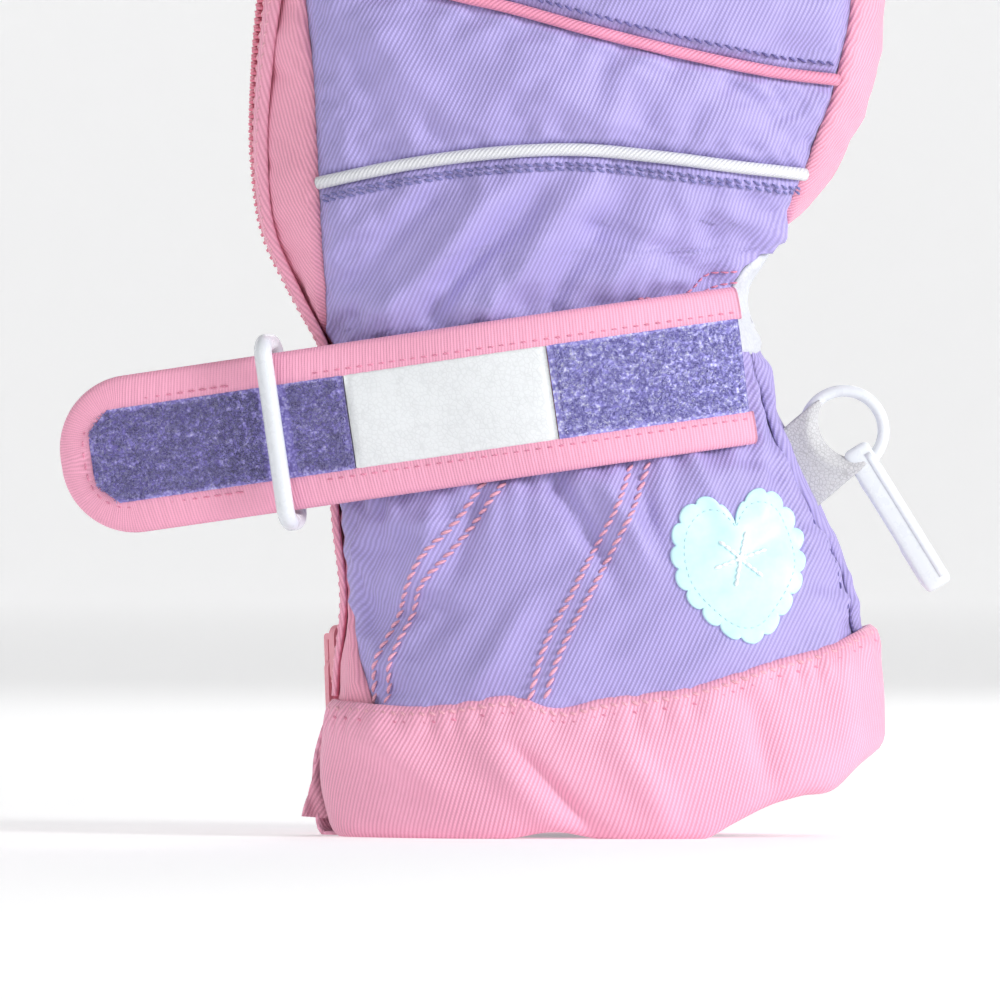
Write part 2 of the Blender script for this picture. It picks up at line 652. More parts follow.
# ---- cloth settled over the padding ---------------------------------------------------
SIM_ROWS, SIM_COLUMNS, SIM_LOW, SIM_HIGH = 76, 112, 24.0, 238.0
SETTLE_FRAMES, SETTLE_LIMIT = 20, 2.4
ELSEWHERE = 90  # added to a seam's distance where the seam doesn't run


def seam_hold(theta, z):
    """How firmly each place is held: 1 on a seam or under the strap, 0 in the middle of a panel."""
    x = profile(z)[0] + profile(z)[1] * np.cos(theta)
    back_side = np.sin(theta) > 0
    gaps = [
        np.abs(x - gusset_x(z)) + ELSEWHERE * (x > 20),
        np.abs(x - band_x(z)) + ELSEWHERE * (x < 20) + ELSEWHERE * (z < BAND_LOW_Z),
        np.abs(z - pink_seam(x)) + ELSEWHERE * ~back_side,
        np.abs(z - white_seam(x)) + ELSEWHERE * ~back_side,
        np.abs(z - PALM_WRIST_Z) + ELSEWHERE * back_side,
        np.minimum(z - SIM_LOW, SIM_HIGH - z),
        np.maximum(np.abs(z - strap_level(x)) - 15, 0) + ELSEWHERE * ~back_side,
    ]
    return (np.min(gaps, axis=0) < 2.3).astype(float)


def settle_cloth():
    """Lets a slightly oversized shell, held at its seams, fill with air over 20 frames."""
    theta, z = np.meshgrid(np.linspace(0, 2 * math.pi, SIM_COLUMNS, endpoint=False),
                           np.linspace(SIM_LOW, SIM_HIGH, SIM_ROWS))
    rest, normals = tube(theta, z), tube_normal(theta, z)
    shell = mesh_object("settling_shell", rest, tube_faces(SIM_ROWS, SIM_COLUMNS))
    shell.data.flip_normals()
    held = shell.vertex_groups.new(name="seams")
    held.add([int(i) for i in np.flatnonzero(seam_hold(theta, z).ravel())], 1.0, "REPLACE")
    cloth = shell.modifiers.new("cloth", "CLOTH")
    cloth.settings.vertex_group_mass = "seams"
    cloth.settings.quality = 6
    cloth.settings.mass = 0.15
    cloth.settings.tension_stiffness = cloth.settings.compression_stiffness = 14
    cloth.settings.bending_stiffness = 0.12
    cloth.settings.shrink_min = -0.07
    cloth.settings.use_pressure = True
    cloth.settings.uniform_pressure_force = 4.0
    cloth.settings.effector_weights.gravity = 0.0
    cloth.point_cache.frame_start, cloth.point_cache.frame_end = 1, SETTLE_FRAMES
    for step in range(1, SETTLE_FRAMES + 1):
        bpy.context.scene.frame_set(step)
    solved = shell.evaluated_get(bpy.context.evaluated_depsgraph_get())
    moved = np.array([vertex.co[:] for vertex in solved.data.vertices]).reshape(rest.shape) / MM
    bpy.data.objects.remove(shell)
    bpy.context.scene.frame_set(1)
    travel = np.clip(((moved - rest) * normals).sum(-1), -SETTLE_LIMIT, SETTLE_LIMIT)
    print("cloth settled by", round(float(travel.min()), 2), "to", round(float(travel.max()), 2), "mm")
    return travel


travel_field = settle_cloth()


def settled(theta, z):
    """How far the settled cloth stands off the smooth tube, between grid points."""
    theta, z = np.broadcast_arrays(np.asarray(theta, float), np.asarray(z, float))
    column = (theta / (2 * math.pi) * SIM_COLUMNS) % SIM_COLUMNS
    row = np.clip((z - SIM_LOW) / (SIM_HIGH - SIM_LOW) * (SIM_ROWS - 1), 0, SIM_ROWS - 1.001)
    i, j = row.astype(int), column.astype(int) % SIM_COLUMNS
    k, a, b = (j + 1) % SIM_COLUMNS, row - row.astype(int), column - np.floor(column)
    a, b = a * a * (3 - 2 * a), b * b * (3 - 2 * b)
    return ((travel_field[i, j] * (1 - b) + travel_field[i, k] * b) * (1 - a)
            + (travel_field[i + 1, j] * (1 - b) + travel_field[i + 1, k] * b) * a)


# ---- padded panels --------------------------------------------------------------------
BACK_PANELS = [
    ("back_knuckle", back_right_upper, lambda x: pink_seam(x) + 0.2, level(TOP), "back_knuckle_panel"),
    ("back_hand", back_right_upper, lambda x: white_seam(x) + 0.2, lambda x: pink_seam(x) - 0.2,
     "back_hand_panel"),
    ("back_wrist", wrist_right, strap_level, lambda x: white_seam(x) - 0.2, "back_wrist_panel"),
    ("gauntlet_back", gauntlet_right, lambda x: hem_top(x) - 4.0, lambda x: strap_level(x) + 5.0,
     "gauntlet_back_panel"),
]
for name, right, low, high, node in BACK_PANELS:
    piece = sewn_panel(name, back_left, right, low, high, back_relief, closed_top=name == "back_knuckle")
    finish_piece(piece, "mitten", lavender_twill, "lavender_twill", node)

PALM_CREASES = [(-30, 200, 40, 176, 7, -1.2), (-36, 172, 20, 150, 7, -1.0), (30, 130, -20, 122, 5, -0.9),
                (-20, 225, 34, 214, 8, -0.7)]


def palm_relief(x, z, theta):
    return soft_relief(x, z, theta) + crease_field(x, z, PALM_CREASES)


palm = sewn_panel("palm_panel", palm_right, palm_left, level(PALM_WRIST_Z), level(TOP), palm_relief,
                  closed_top=True)
finish_piece(palm, "mitten", palm_leather, "palm_leather", "palm_leather")


def shirred_relief(x, z, theta):
    """Palm side of the gauntlet, gathered by the elastic behind it."""
    shirring = 0.8 * np.sin(x * 1.35 + 1.2 * np.sin(x * 0.3)) * np.exp(-((z - 102) / 9.0) ** 2)
    return soft_relief(x, z, theta) + shirring


gauntlet_palm = sewn_panel("gauntlet_palm", gauntlet_right, lambda z: palm_left(z) - 2 * math.pi,
                           lambda x: hem_top(x) - 4.0, level(109), shirred_relief, lift=0.3)
finish_piece(gauntlet_palm, "mitten", lavender_twill, "lavender_twill", "gauntlet_palm_panel")

gusset = sewn_panel("side_gusset", back_left, palm_left, level(26), level(TOP), soft_relief, closed_top=True)
finish_piece(gusset, "mitten", pink_twill, "pink_twill", "zip_gusset")
band = sewn_panel("thumb_side_band", back_right_upper, lambda z: band_palm_side(z) - 2 * math.pi, level(134.5),
                  level(TOP), soft_relief, closed_top=True)
finish_piece(band, "mitten", pink_twill, "pink_twill", "side_band")
patch = sewn_panel("wrist_patch", wrist_right, lambda z: np.full_like(z, -0.9), level(107.5), level(136),
                   soft_relief, lift=0.2)
finish_piece(patch, "mitten", patch_leather, "white_leather", "wrist_leather_patch")


# ---- piping and stitch rows on the body -----------------------------------------------
def on_back(x, z, out=0.0):
    """Points and normals of the puffed back at x and z."""
    x, z = np.asarray(x, float), np.asarray(z, float)
    theta = theta_at(x, z)
    points, normals = tube(theta, z), tube_normal(theta, z)
    lift = back_relief(points[..., 0], z, theta) + out
    return points + normals * lift[..., None], normals


def seam_path(line, start, stop, offset=0.0):
    x = np.linspace(start, stop, 90)
    return x, line(x) + offset


def seam_ends(line):
    """Where a cross seam meets the gusset and the band."""
    x = np.linspace(-50, 85, 600)
    z = line(x)
    inside = (x > gusset_x(z)) & (x < band_x(z))
    return x[inside][0], x[inside][-1]


for name, line, radius, material, slot, node in (
        ("pink_piping", pink_seam, 1.35, piping_pink, "pink_piping", "pink_piping"),
        ("white_piping", white_seam, 1.42, piping_white, "white_piping", "white_piping")):
    first, last = seam_ends(line)
    x, z = seam_path(line, first + 0.4, last - 0.4)
    theta = theta_at(x, z)
    points, normals = tube(theta, z), tube_normal(theta, z)
    lift = 0.25 * back_relief(x, z, theta) + 0.35
    cord = sweep_tube(name, points + normals * lift[:, None], radius, normals)
    finish_piece(cord, "mitten", material, slot, node)

for name, line, offset, material in (
        ("stitch_knuckle", pink_seam, 3.4, thread_violet), ("stitch_hand", white_seam, -3.1, thread_slate),
        ("stitch_hand_low", white_seam, -4.2, thread_slate)):
    first, last = seam_ends(line)
    x, z = seam_path(line, first + 1, last - 1, offset)
    path, normals = on_back(x, z, 0.15)
    stitch_row(name, path, normals, material, "mitten", "lavender_twill", pitch=2.3, radius=0.33, twist=True)

# twin rows down the gauntlet, as (z, x) from the top
TWIN_LINES = {
    "stitch_gauntlet_a": [
        (79, -5.4), (68, -13.2), (63.8, -17.2), (53.6, -22.6), (45, -26.8), (35.6, -29.9), (29.6, -30.1)],
    "stitch_gauntlet_b": [
        (79, -0.8), (63.8, -12.3), (55.3, -19.2), (46.9, -22.6), (39.3, -25.7), (29.8, -27.0)],
    "stitch_gauntlet_c": [
        (83, 27), (72.7, 23.4), (63.8, 18.8), (53.6, 13.7), (44, 8.6), (35.6, 5.9), (30.5, 4.8)],
    "stitch_gauntlet_d": [
        (83.5, 30.8), (72.7, 27.2), (63.8, 22.8), (53.6, 17.7), (45, 13.2), (37, 9.9), (30.8, 8.3)],
}
for name, points in TWIN_LINES.items():
    line = smooth_line(sorted(points))
    z = np.linspace(points[-1][0], points[0][0], 80)
    path, normals = on_back(line(z), z, 0.2)
    stitch_row(name, path, normals, thread_rose, "mitten", "pink_twill", length=2.5, radius=0.46, twist=True)

for name, points in {"stitch_wrist_a": [(28, 119.5), (39.7, 121), (43.2, 123.5), (51, 125.8)],
                     "stitch_wrist_b": [(33, 117.5), (41, 119.2), (45, 121.4), (51, 123.4)]}.items():
    line = smooth_line(points)
    x = np.linspace(points[0][0], points[-1][0], 40)
    path, normals = on_back(x, line(x), 0.2)
    stitch_row(name, path, normals, thread_pink, "mitten", "pink_twill", pitch=2.2, length=1.8)

z = np.linspace(50, 73, 40)
path, normals = on_back(side_seam_x(z) - 1.6, z, -0.2)
stitch_row("stitch_side_seam", path, normals, thread_violet, "mitten", "lavender_twill", pitch=2.6, length=1.8,
           radius=0.22)


def on_palm(x, z, out=0.0):
    """Points and normals of the puffed palm side at x and z."""
    x, z = np.broadcast_arrays(np.asarray(x, float), np.asarray(z, float))
    theta = theta_at(x, z, palm=True)
    points, normals = tube(theta, z), tube_normal(theta, z)
    return points + normals * (palm_relief(points[..., 0], z, theta) + out)[..., None], normals


z = np.linspace(112, 236, 150)
for index, inset in enumerate((3.4, 6.0)):
    path, normals = on_palm(gusset_x(z) + PALM_SEAM_INSET + inset, z, 0.15)
    stitch_row(f"stitch_palm_zip_side_{index}", path, normals, thread_slate, "mitten", "palm_leather",
               pitch=2.6, length=1.9)
z = np.linspace(140, 236, 120)
path, normals = on_palm(band_x(z) - 3.2, z, 0.15)
stitch_row("stitch_palm_band_side", path, normals, thread_slate, "mitten", "palm_leather", pitch=2.6,
           length=1.9)
for index, height in enumerate((99.5, 102.5, 105.5)):
    x = np.linspace(-30, 46, 90)
    path, normals = on_palm(x, height, 0.45)
    stitch_row(f"stitch_elastic_{index}", path, normals, thread_violet, "mitten", "lavender_twill", pitch=2.8,
               length=2.1, radius=0.28)

# ---- hem band -------------------------------------------------------------------------
HEM_START, HEM_STOP = math.radians(178), math.radians(-170)
HEM_FLOOR = 0.8  # lowest height of the hem's own surface, which keeps its thickness off the floor
# each row of the hem: its share of the way from the lower to the upper edge, and how far it stands out
HEM_ROWS = [(1.0, 0.3), (1.0, 1.5), (0.965, 2.1), (0.9, 2.3)]
HEM_ROWS += [(share, 2.4) for share in np.linspace(0.84, 0.1, 22)]
HEM_ROWS += [(0.05, 2.0), (0.015, 1.2), (0.0, 0.2), (0.0, -2.5), (0.0, -5.5), (0.012, -7.4), (0.05, -8.8),
             (0.15, -9.2), (0.3, -9.3), (0.5, -9.3)]
HEM_CREASES = [(1, 19, 21, 1.5, 3.4, -0.9), (-5, 20, 12, 3, 4.4, 0.6), (-30, 22, -12, 12, 6, 0.9),
               (24, 22, 34, 4, 5, 0.7), (52, 30, 58, 12, 5, -0.7), (70, 38, 74, 22, 5, 0.6)]


def hem_swell(x, z, theta, s, share):
    """Folds, gathers and the flare at the slit on the outside of the hem."""
    folds = 0.55 * ripple(theta * 30, z * 0.8, 11.0) + crease_field(x, z, HEM_CREASES) * (share < 0.93)
    gather = 0.4 * np.sin(theta * 46 + 2 * np.sin(theta * 9)) * np.exp(-((share - 0.88) / 0.1) ** 2)
    roundness = 0.75 * math.sin(math.pi * share)
    flare = 4.6 * (1 - share) ** 1.5 * np.exp(-(1 - s) / 0.03) - 1.0 * np.exp(-s / 0.012)
    return folds * (0.3 if share > 0.93 else 1.0) + gather + roundness + flare


def hem_band():
    """The wide band sewn round the cuff, turned under at the bottom, slit on the zip side."""
    columns = 300
    s = np.linspace(0, 1, columns)
    rows = []
    for share, out in HEM_ROWS:
        theta = HEM_START + (HEM_STOP - HEM_START) * s
        theta = theta - math.radians(5) * (1 - share) ** 1.5 * np.exp(-s / 0.02)
        z = np.full_like(s, 20.0)
        for _ in range(10):
            x = profile(z)[0] + (profile(z)[1] + max(out, 0)) * np.cos(theta)
            z = 0.5 * z + 0.5 * (hem_low(x) + (hem_top(x) - hem_low(x)) * share)
        points, normals = tube(theta, np.maximum(z, 0.05)), tube_normal(theta, np.maximum(z, 0.05))
        normals[:, 2] = 0
        normals /= np.linalg.norm(normals, axis=1, keepdims=True)
        swell = hem_swell(points[:, 0], z, theta, s, share) if out > 0 else np.zeros_like(s)
        place = points + normals * (out + swell)[:, None]
        place[:, 2] = np.maximum(z, HEM_FLOOR)
        rows.append(place)
    grid = np.array(rows)
    cloth = cloth_coords(grid[::-1])[::-1].copy()
    cloth[..., 0] = cloth[len(rows) // 2, :, 0]
    return thicken(mesh_object("hem", grid, grid_faces(len(rows), columns), cloth), 0.9), grid


hem, hem_grid = hem_band()
finish_piece(hem, "mitten", hem_twill, "pink_twill", "hem_band")


def hem_row(name, row, out, material, **sizes):
    """Stitches along one row of the hem, standing off its surface by out."""
    path = hem_grid[row][2:-2]
    centre, wide, deep = profile(path[:, 2])
    outward = np.stack([(path[:, 0] - centre) / wide ** 2, (path[:, 1] - BODY_Y) / deep ** 2, 0 * centre],
                       axis=1)
    outward /= np.linalg.norm(outward, axis=1, keepdims=True)
    stitch_row(name, path + outward * out, outward, material, "mitten", "pink_twill", **sizes)


hem_row("stitch_hem_a", 2, 0.35, thread_pale, pitch=2.3, length=2.5, radius=0.5, twist=True)
hem_row("stitch_hem_b", 3, 0.4, thread_pink, pitch=2.3, length=1.9, radius=0.36, twist=True)
serge = hem_grid[6:26, 0]
serge_out = np.tile([-0.7, -0.7, 0.0], (len(serge), 1))
stitch_row("stitch_slit", serge + [0.6, -0.5, 0], serge_out, thread_pale, "mitten", "pink_twill", pitch=1.6,
           length=1.9, radius=0.36, twist=True)


def slit_flap():
    """The corner of the hem's other end, showing beyond the slit."""
    s, t = np.meshgrid(np.linspace(0, 1, 12), np.linspace(0, 1, 22))
    left = -41.8 - 4.6 * (1 - t) ** 1.1
    x = left + (-36.0 - left) * s
    z = 3.2 + 0.9 * (1 - s) + 18.5 * t
    y = BODY_Y + 6.5 + 2.2 * s + 0.5 * np.sin(x * 1.3 + z * 0.4)
    grid = np.stack([x, y, z], axis=-1)
    return thicken(mesh_object("slit_flap", grid, grid_faces(22, 12), cloth_coords(grid)), 0.9, 0.0)


flap_piece = slit_flap()
finish_piece(flap_piece, "mitten", pink_twill, "pink_twill")

# ---- fleece lining ----------------------------------------------------------------------
LINING_INSET, LINING_LOW = 9.0, 7.5


def lining():
    """The fleece inside the body, whose mouth follows the hem's lower edge."""
    dome = (HEIGHT - LINING_INSET - 0.3 - DOME_START) * np.sin(np.linspace(0.06, 1.53, 22))
    heights = np.concatenate([np.linspace(LINING_LOW, DOME_START, 60), DOME_START + dome])
    theta = np.linspace(0, 2 * math.pi, 120, endpoint=False)
    rows = []
    for height in heights:
        points = tube(theta, np.full_like(theta, height), LINING_INSET)
        normals = tube_normal(theta, np.full_like(theta, height), LINING_INSET)
        wave = 0.4 * ripple(theta * 30, np.full_like(theta, height), 9.0) - 0.4
        lift = np.maximum(hem_low(points[:, 0]) * np.clip(1 - (height - LINING_LOW) / 30, 0, 1), 0)
        points = points + normals * wave[:, None]
        points[:, 2] += lift
        rows.append(points)
    return thicken(mesh_object("lining", rows, tube_faces(len(rows), len(theta), open_start=True)), 0.9, 1.0)


fleece_piece = lining()
finish_piece(fleece_piece, "mitten", lining_fleece, "fleece", "fleece_lining", "back_wadding", "palm_wadding",
             "waterproof_insert", "wrist_elastic")

# ---- thumb stall ----------------------------------------------------------------------------
THUMB_ROOT = np.array([38.0, BODY_Y + 1, 120.0])
THUMB_TIP = np.array([61.0, BODY_Y + 28, 190.0])
THUMB_RADII = (18.5, 15.0)


def thumb():
    """The thumb stall on the palm side: a tapered tube with a rounded end and two sunken seams."""
    along = THUMB_TIP - THUMB_ROOT
    length = np.linalg.norm(along)
    along = along / length
    side = np.cross(along, [0, 1, 0])
    side /= np.linalg.norm(side)
    palmward = np.cross(side, along)
    rows, turns = [], np.linspace(0, 2 * math.pi, 72, endpoint=False)
    marks = [(share * length, THUMB_RADII[0] + (THUMB_RADII[1] - THUMB_RADII[0]) * share)
             for share in np.linspace(0, 1, 44)]
    marks += [(length + THUMB_RADII[1] * math.sin(a), THUMB_RADII[1] * math.cos(a))
              for a in np.linspace(0.08, 1.53, 16)]
    for reach, radius in marks:
        fold = 0.5 * ripple(turns * 14, np.full_like(turns, reach), 8.0)
        groove = -1.0 * np.exp(-((np.abs(np.sin(turns + 0.35))) * radius / 1.6) ** 2)
        local = radius + (fold + groove) * min(radius / 8, 1)
        rows.append(THUMB_ROOT + along * reach + np.outer(np.cos(turns) * local, side)
                    + np.outer(np.sin(turns) * local, palmward))
    grid = np.array(rows)
    grid[..., 1] = np.maximum(grid[..., 1], BODY_Y + 2.5)
    behind = right_side(grid[..., 2]) - 1.2
    grid[..., 0] = np.where(grid[..., 2] < 160, np.minimum(grid[..., 0], behind), grid[..., 0])
    faces = tube_faces(len(rows), len(turns), open_start=True)
    return thicken(mesh_object("thumb_stall", grid, faces, cloth_coords(grid)), 1.2), grid


thumb_piece, thumb_grid = thumb()
finish_piece(thumb_piece, "mitten", palm_leather, "palm_leather", "thumb_shell", "thumb_wadding",
             "thumb_lining")
for index, column in enumerate((4, 40)):
    path = thumb_grid[12:54, column]
    axis_points = THUMB_ROOT + np.outer(np.linspace(0.25, 1.15, len(path)), THUMB_TIP - THUMB_ROOT)
    stitch_row(f"stitch_thumb_{index}", path, path - axis_points, thread_slate, "mitten", "palm_leather",
               pitch=2.6, length=1.9)

# ---- wrist strap -----------------------------------------------------------------------------
TILT = math.radians(8.2)
LEAVE = math.radians(14.0)
APEX_X, APEX_Y, BEND = 10.0, BODY_Y - 25.0, 90.0
STRAP_END_X, STRAP_TIP_X, RING_X = 52.5, -101.0, -51.5
BINDING_WIDTH, TAPE_HALF = 7.3, 10.5
FIBRE_HALF = 9.8
strap_u = np.array([math.cos(TILT), 0, math.sin(TILT)])
strap_w = np.array([-math.sin(TILT), 0, math.cos(TILT)])
tangent_x = APEX_X - BEND * math.sin(LEAVE)


def strap_point(u, w, out):
    """A point of the strap: u is the place along it seen from the front, w across it."""
    u, w, out = np.broadcast_arrays(np.asarray(u, float), np.asarray(w, float), np.asarray(out, float))
    angle = np.arcsin(np.clip((u - APEX_X) / BEND, -math.sin(LEAVE), 0.7))
    run = np.maximum(tangent_x - u, 0) / math.cos(LEAVE)
    radius = BEND + out
    x = APEX_X + radius * np.sin(angle) - run * math.cos(LEAVE)
    y = APEX_Y + BEND - radius * np.cos(angle) + run * math.sin(LEAVE)
    flat = x[..., None] * strap_u + w[..., None] * strap_w + np.array([0, 0, STRAP_Z])
    return flat + y[..., None] * np.array([0, 1.0, 0])


def strap_wave(u, w):
    """Slight waviness of the strap's surface."""
    return 0.35 * ripple(u * 0.8, w, 16.0)


ring_centre = strap_point(RING_X, 0, 0)
along_strap = strap_point(RING_X + 1, 0, 0) - ring_centre
along_strap = along_strap / np.linalg.norm(along_strap)
strap_out = strap_point(RING_X, 0, 1) - ring_centre


def across_fold(piece, material, slot, *nodes):
    """Finishes a piece that bends between the mitten and the strap's free end."""
    piece.data.materials.append(material)
    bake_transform(piece)
    if nodes:
        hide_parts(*nodes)


def strap_edge(margin, corner):
    """Outline of the strap, from the sewn end along the top, round the tip and back."""
    half = STRAP_HALF - margin
    tip = STRAP_TIP_X + margin
    top = [(u, half) for u in np.linspace(STRAP_END_X, tip + corner, 150)]
    turns = np.linspace(0, math.pi / 2, 24)[1:]
    first = [(tip + corner - corner * math.sin(a), half - corner + corner * math.cos(a)) for a in turns]
    second = [(tip + corner - corner * math.cos(a), -half + corner - corner * math.sin(a)) for a in turns]
    low = [(u, -half) for u in np.linspace(tip + corner, STRAP_END_X, 150)][1:]
    return np.array(top + first + second + low)


def strap_binding():
    """Grosgrain ribbon folded over the strap's edge."""
    outer = strap_edge(0.0, STRAP_HALF - 1.0)
    inner = strap_edge(BINDING_WIDTH, 8.0)
    # round the ribbon's section: share of its width from the inner edge, and distance from the middle layer
    rim = [(0.0, 1.62), (0.03, 1.9), (0.25, 1.98), (0.5, 2.0), (0.8, 1.85), (0.93, 1.4), (1.0, 0.5),
           (1.0, -0.5), (0.93, -1.25), (0.75, -1.6), (0.4, -1.65), (0.0, -1.6), (-0.02, -1.0), (-0.02, 1.0)]
    rows = []
    run = run_length(outer)
    for share, out in rim:
        place = inner + (outer - inner) * min(max(share, 0), 1)
        wave = strap_wave(place[:, 0], place[:, 1])
        pucker = 0.12 * np.sin(run * 2 * math.pi / 2.7) * (share < 0.6) * (out > 0)
        rows.append(strap_point(place[:, 0], place[:, 1], out + wave + pucker))
    grid = np.array(rows).transpose(1, 0, 2)
    coords = np.full(grid.shape, NO_SEAM)
    coords[..., 0] = run[:, None]
    coords[..., 1] = np.array([share for share, _ in rim]) * BINDING_WIDTH
    return mesh_object("strap_binding", grid, tube_faces(*grid.shape[:2], flip_ends=True), coords)


across_fold(strap_binding(), ribbon, "pink_grosgrain", "strap_tip_binding", "strap_base_binding")


def strap_slab(name, start, stop, inner, outer, half=TAPE_HALF, chamfer=0.0, bulge=0.0):
    """A flat layer of the strap with softly rounded edges, narrower over the chamfer at its start."""
    places = np.linspace(start, stop, max(int(abs(stop - start)), 6))
    # across the layer: share of its half width, and share of its thickness
    section = [(-1, 0.35), (-1, 0.8), (-0.985, 1.0)] + [(w, 1.0) for w in np.linspace(-0.93, 0.93, 22)]
    section += [(0.985, 1.0), (1, 0.8), (1, 0.35), (1, 0.0), (0.5, 0.0), (-0.5, 0.0), (-1, 0.0)]
    width_share, share = np.array(section).T
    rows, coords = [], []
    for u in places:
        w = width_share * (half - max(chamfer - abs(u - start), 0))
        ends = min(min(abs(u - start), abs(u - stop)) / 1.2, 1)
        crown = bulge * np.cos(np.clip(w / half, -1, 1) * math.pi / 2) * ends
        out = inner + (outer - inner) * share * (0.75 + 0.25 * ends) + crown * share
        rows.append(strap_point(u, w, out + strap_wave(u, w)))
        coords.append(np.stack([np.full_like(w, u), w, np.full_like(w, NO_SEAM)], axis=-1))
    return mesh_object(name, rows, tube_faces(len(rows), len(section), flip_ends=True), coords)


LOOP_END, LEATHER_END = -35.5, 9.5
TAPE_TIP = STRAP_TIP_X + BINDING_WIDTH
web = strap_slab("strap_web", TAPE_TIP + 0.5, STRAP_END_X - 0.5, -1.0, 0.8, half=10.6, chamfer=5.0)
across_fold(web, webbing, "pink_webbing", "strap_tip_web", "strap_base_web")
loop_panel = strap_slab("loop_tape", TAPE_TIP, LOOP_END, 0.8, 2.1, chamfer=5.0, bulge=0.1)
across_fold(loop_panel, loop_pile, "loop_pile", "strap_tip_loop_tape", "strap_base_loop_tape")
leather_panel = strap_slab("leather_panel", LOOP_END + 0.2, LEATHER_END, 0.8, 2.0, bulge=0.7)
finish_piece(leather_panel, "mitten", white_leather, "white_leather", "strap_leather_panel")
hook_panel = strap_slab("hook_tape", LEATHER_END + 0.2, STRAP_END_X - 0.8, 0.8, 2.0, bulge=0.15)
finish_piece(hook_panel, "mitten", hook_pile, "hook_tape", "strap_hook_tape")


def fibres(name, start, stop, count, length, radius, hooked):
    """Curled loops or stiff hooks standing on a tape, as short bent strands of three sides."""
    points, faces = [], []
    for index in range(count):
        u = start + (stop - start) * random.random()
        w = random.uniform(-FIBRE_HALF, FIBRE_HALF)
        # none past the tape's cut corners, nor where the ring's bar crosses
        if u < TAPE_TIP + 5 and abs(w) > 5.5 + (u - TAPE_TIP) or abs(u - RING_X) < 3.4:
            continue
        heading = random.uniform(0, 2 * math.pi)
        reach = length * random.uniform(0.6, 1.3)
        faces += tube_faces(5, 3, base=len(points), flip_ends=True)
        for share in np.linspace(0, 1, 5):
            run = reach * (share - 0.5 + (0.25 * math.sin(share * 6) if not hooked else 0))
            rise = (0.55 if hooked else 0.42) * reach * math.sin(math.pi * min(share * 1.05, 1))
            centre_u, centre_w = u + run * math.cos(heading), w + run * math.sin(heading)
            width_u, width_w = -math.sin(heading) * radius, math.cos(heading) * radius
            top = 2.12 + rise + strap_wave(u, w)
            points.append(strap_point(centre_u - width_u, centre_w - width_w, top))
            points.append(strap_point(centre_u + width_u, centre_w + width_w, top))
            points.append(strap_point(centre_u, centre_w, top + radius * 1.4))
    return mesh_object(name, points, faces)


loops = fibres("loop_fibres", TAPE_TIP + 0.6, LOOP_END - 0.5, 5200, 1.5, 0.075, hooked=False)
across_fold(loops, loop_pile, "loop_pile")
hooks = fibres("hook_fibres", LEATHER_END + 1.5, STRAP_END_X - 1.5, 4200, 0.8, 0.08, hooked=True)
finish_piece(hooks, "mitten", hook_pile, "hook_tape")


u = np.linspace(RING_X + 9, STRAP_END_X - 1, 160)
for name, w in (("top", 11.9), ("low", -11.9)):
    path = strap_point(u, w, 1.8 + strap_wave(u, w))
    normals = strap_point(u, w, 2.8) - strap_point(u, w, 1.8)
    stitch_row(f"stitch_strap_{name}", path, normals, thread_pink, "mitten", "pink_grosgrain", length=1.9,
               radius=0.24)
tip_route = strap_edge(5.7, 9.5)
tip_u, tip_w = tip_route[tip_route[:, 0] < RING_X - 9].T
path = strap_point(tip_u, tip_w, 1.8)
stitch_row("stitch_strap_tip", path, strap_point(tip_u, tip_w, 2.8) - path, thread_pink, "strap_flap",
           "pink_grosgrain", length=1.9, radius=0.24)
for name, place in (("stitch_loop_end", LOOP_END - 1.6), ("stitch_hook_end", LEATHER_END + 1.8)):
    w = np.linspace(-FIBRE_HALF, FIBRE_HALF, 40)
    path = strap_point(place, w, 2.25)
    stitch_row(name, path, strap_point(place, w, 3.2) - path, thread_violet, "mitten", "hook_tape", pitch=2.4,
               length=1.9, radius=0.24)


# ---- strap ring and its tab ---------------------------------------------------------------------
RING_BAR, RING_FRONT, RING_BACK, RING_HALF, RING_CORNER = 2.0, 4.9, -5.6, 20.1, 3.4


def rounded_rectangle(half_a, middle_a, half_b, corner, steps=9):
    """Points round a rounded rectangle, as distances along its two directions."""
    route = []
    for quarter, (sa, sb) in enumerate(((1, 1), (-1, 1), (-1, -1), (1, -1))):
        for step in range(steps):
            turn = math.pi / 2 * (quarter + step / (steps - 1))
            route.append((middle_a + sa * (half_a - corner) + corner * math.cos(turn),
                          sb * (half_b - corner) + corner * math.sin(turn)))
    return route


def closed_tube(name, route, radius, sides, plane_normal):
    """A closed cord through points that lie in one plane."""
    route = np.array(route, float)
    following, before = np.roll(route, -1, axis=0), np.roll(route, 1, axis=0)
    tangent = following - before
    tangent /= np.linalg.norm(tangent, axis=1, keepdims=True)
    side = np.cross(tangent, plane_normal)
    points = []
    for centre, out in zip(route, side):
        for k in range(sides):
            turn = 2 * math.pi * k / sides
            points.append(centre + radius * (out * math.cos(turn) + np.asarray(plane_normal) * math.sin(turn)))
    return mesh_object(name, points, ring_faces(len(route), sides))


half_gap = (RING_FRONT - RING_BACK) / 2
ring_route = [ring_centre + strap_out * a + strap_w * b for a, b in
              rounded_rectangle(half_gap, (RING_FRONT + RING_BACK) / 2, RING_HALF, RING_CORNER)]
ring_piece = closed_tube("ring_bar", ring_route, RING_BAR, 20, along_strap)
ring_piece.data.flip_normals()
finish_piece(ring_piece, "ring", white_plastic, "white_plastic", "strap_ring")


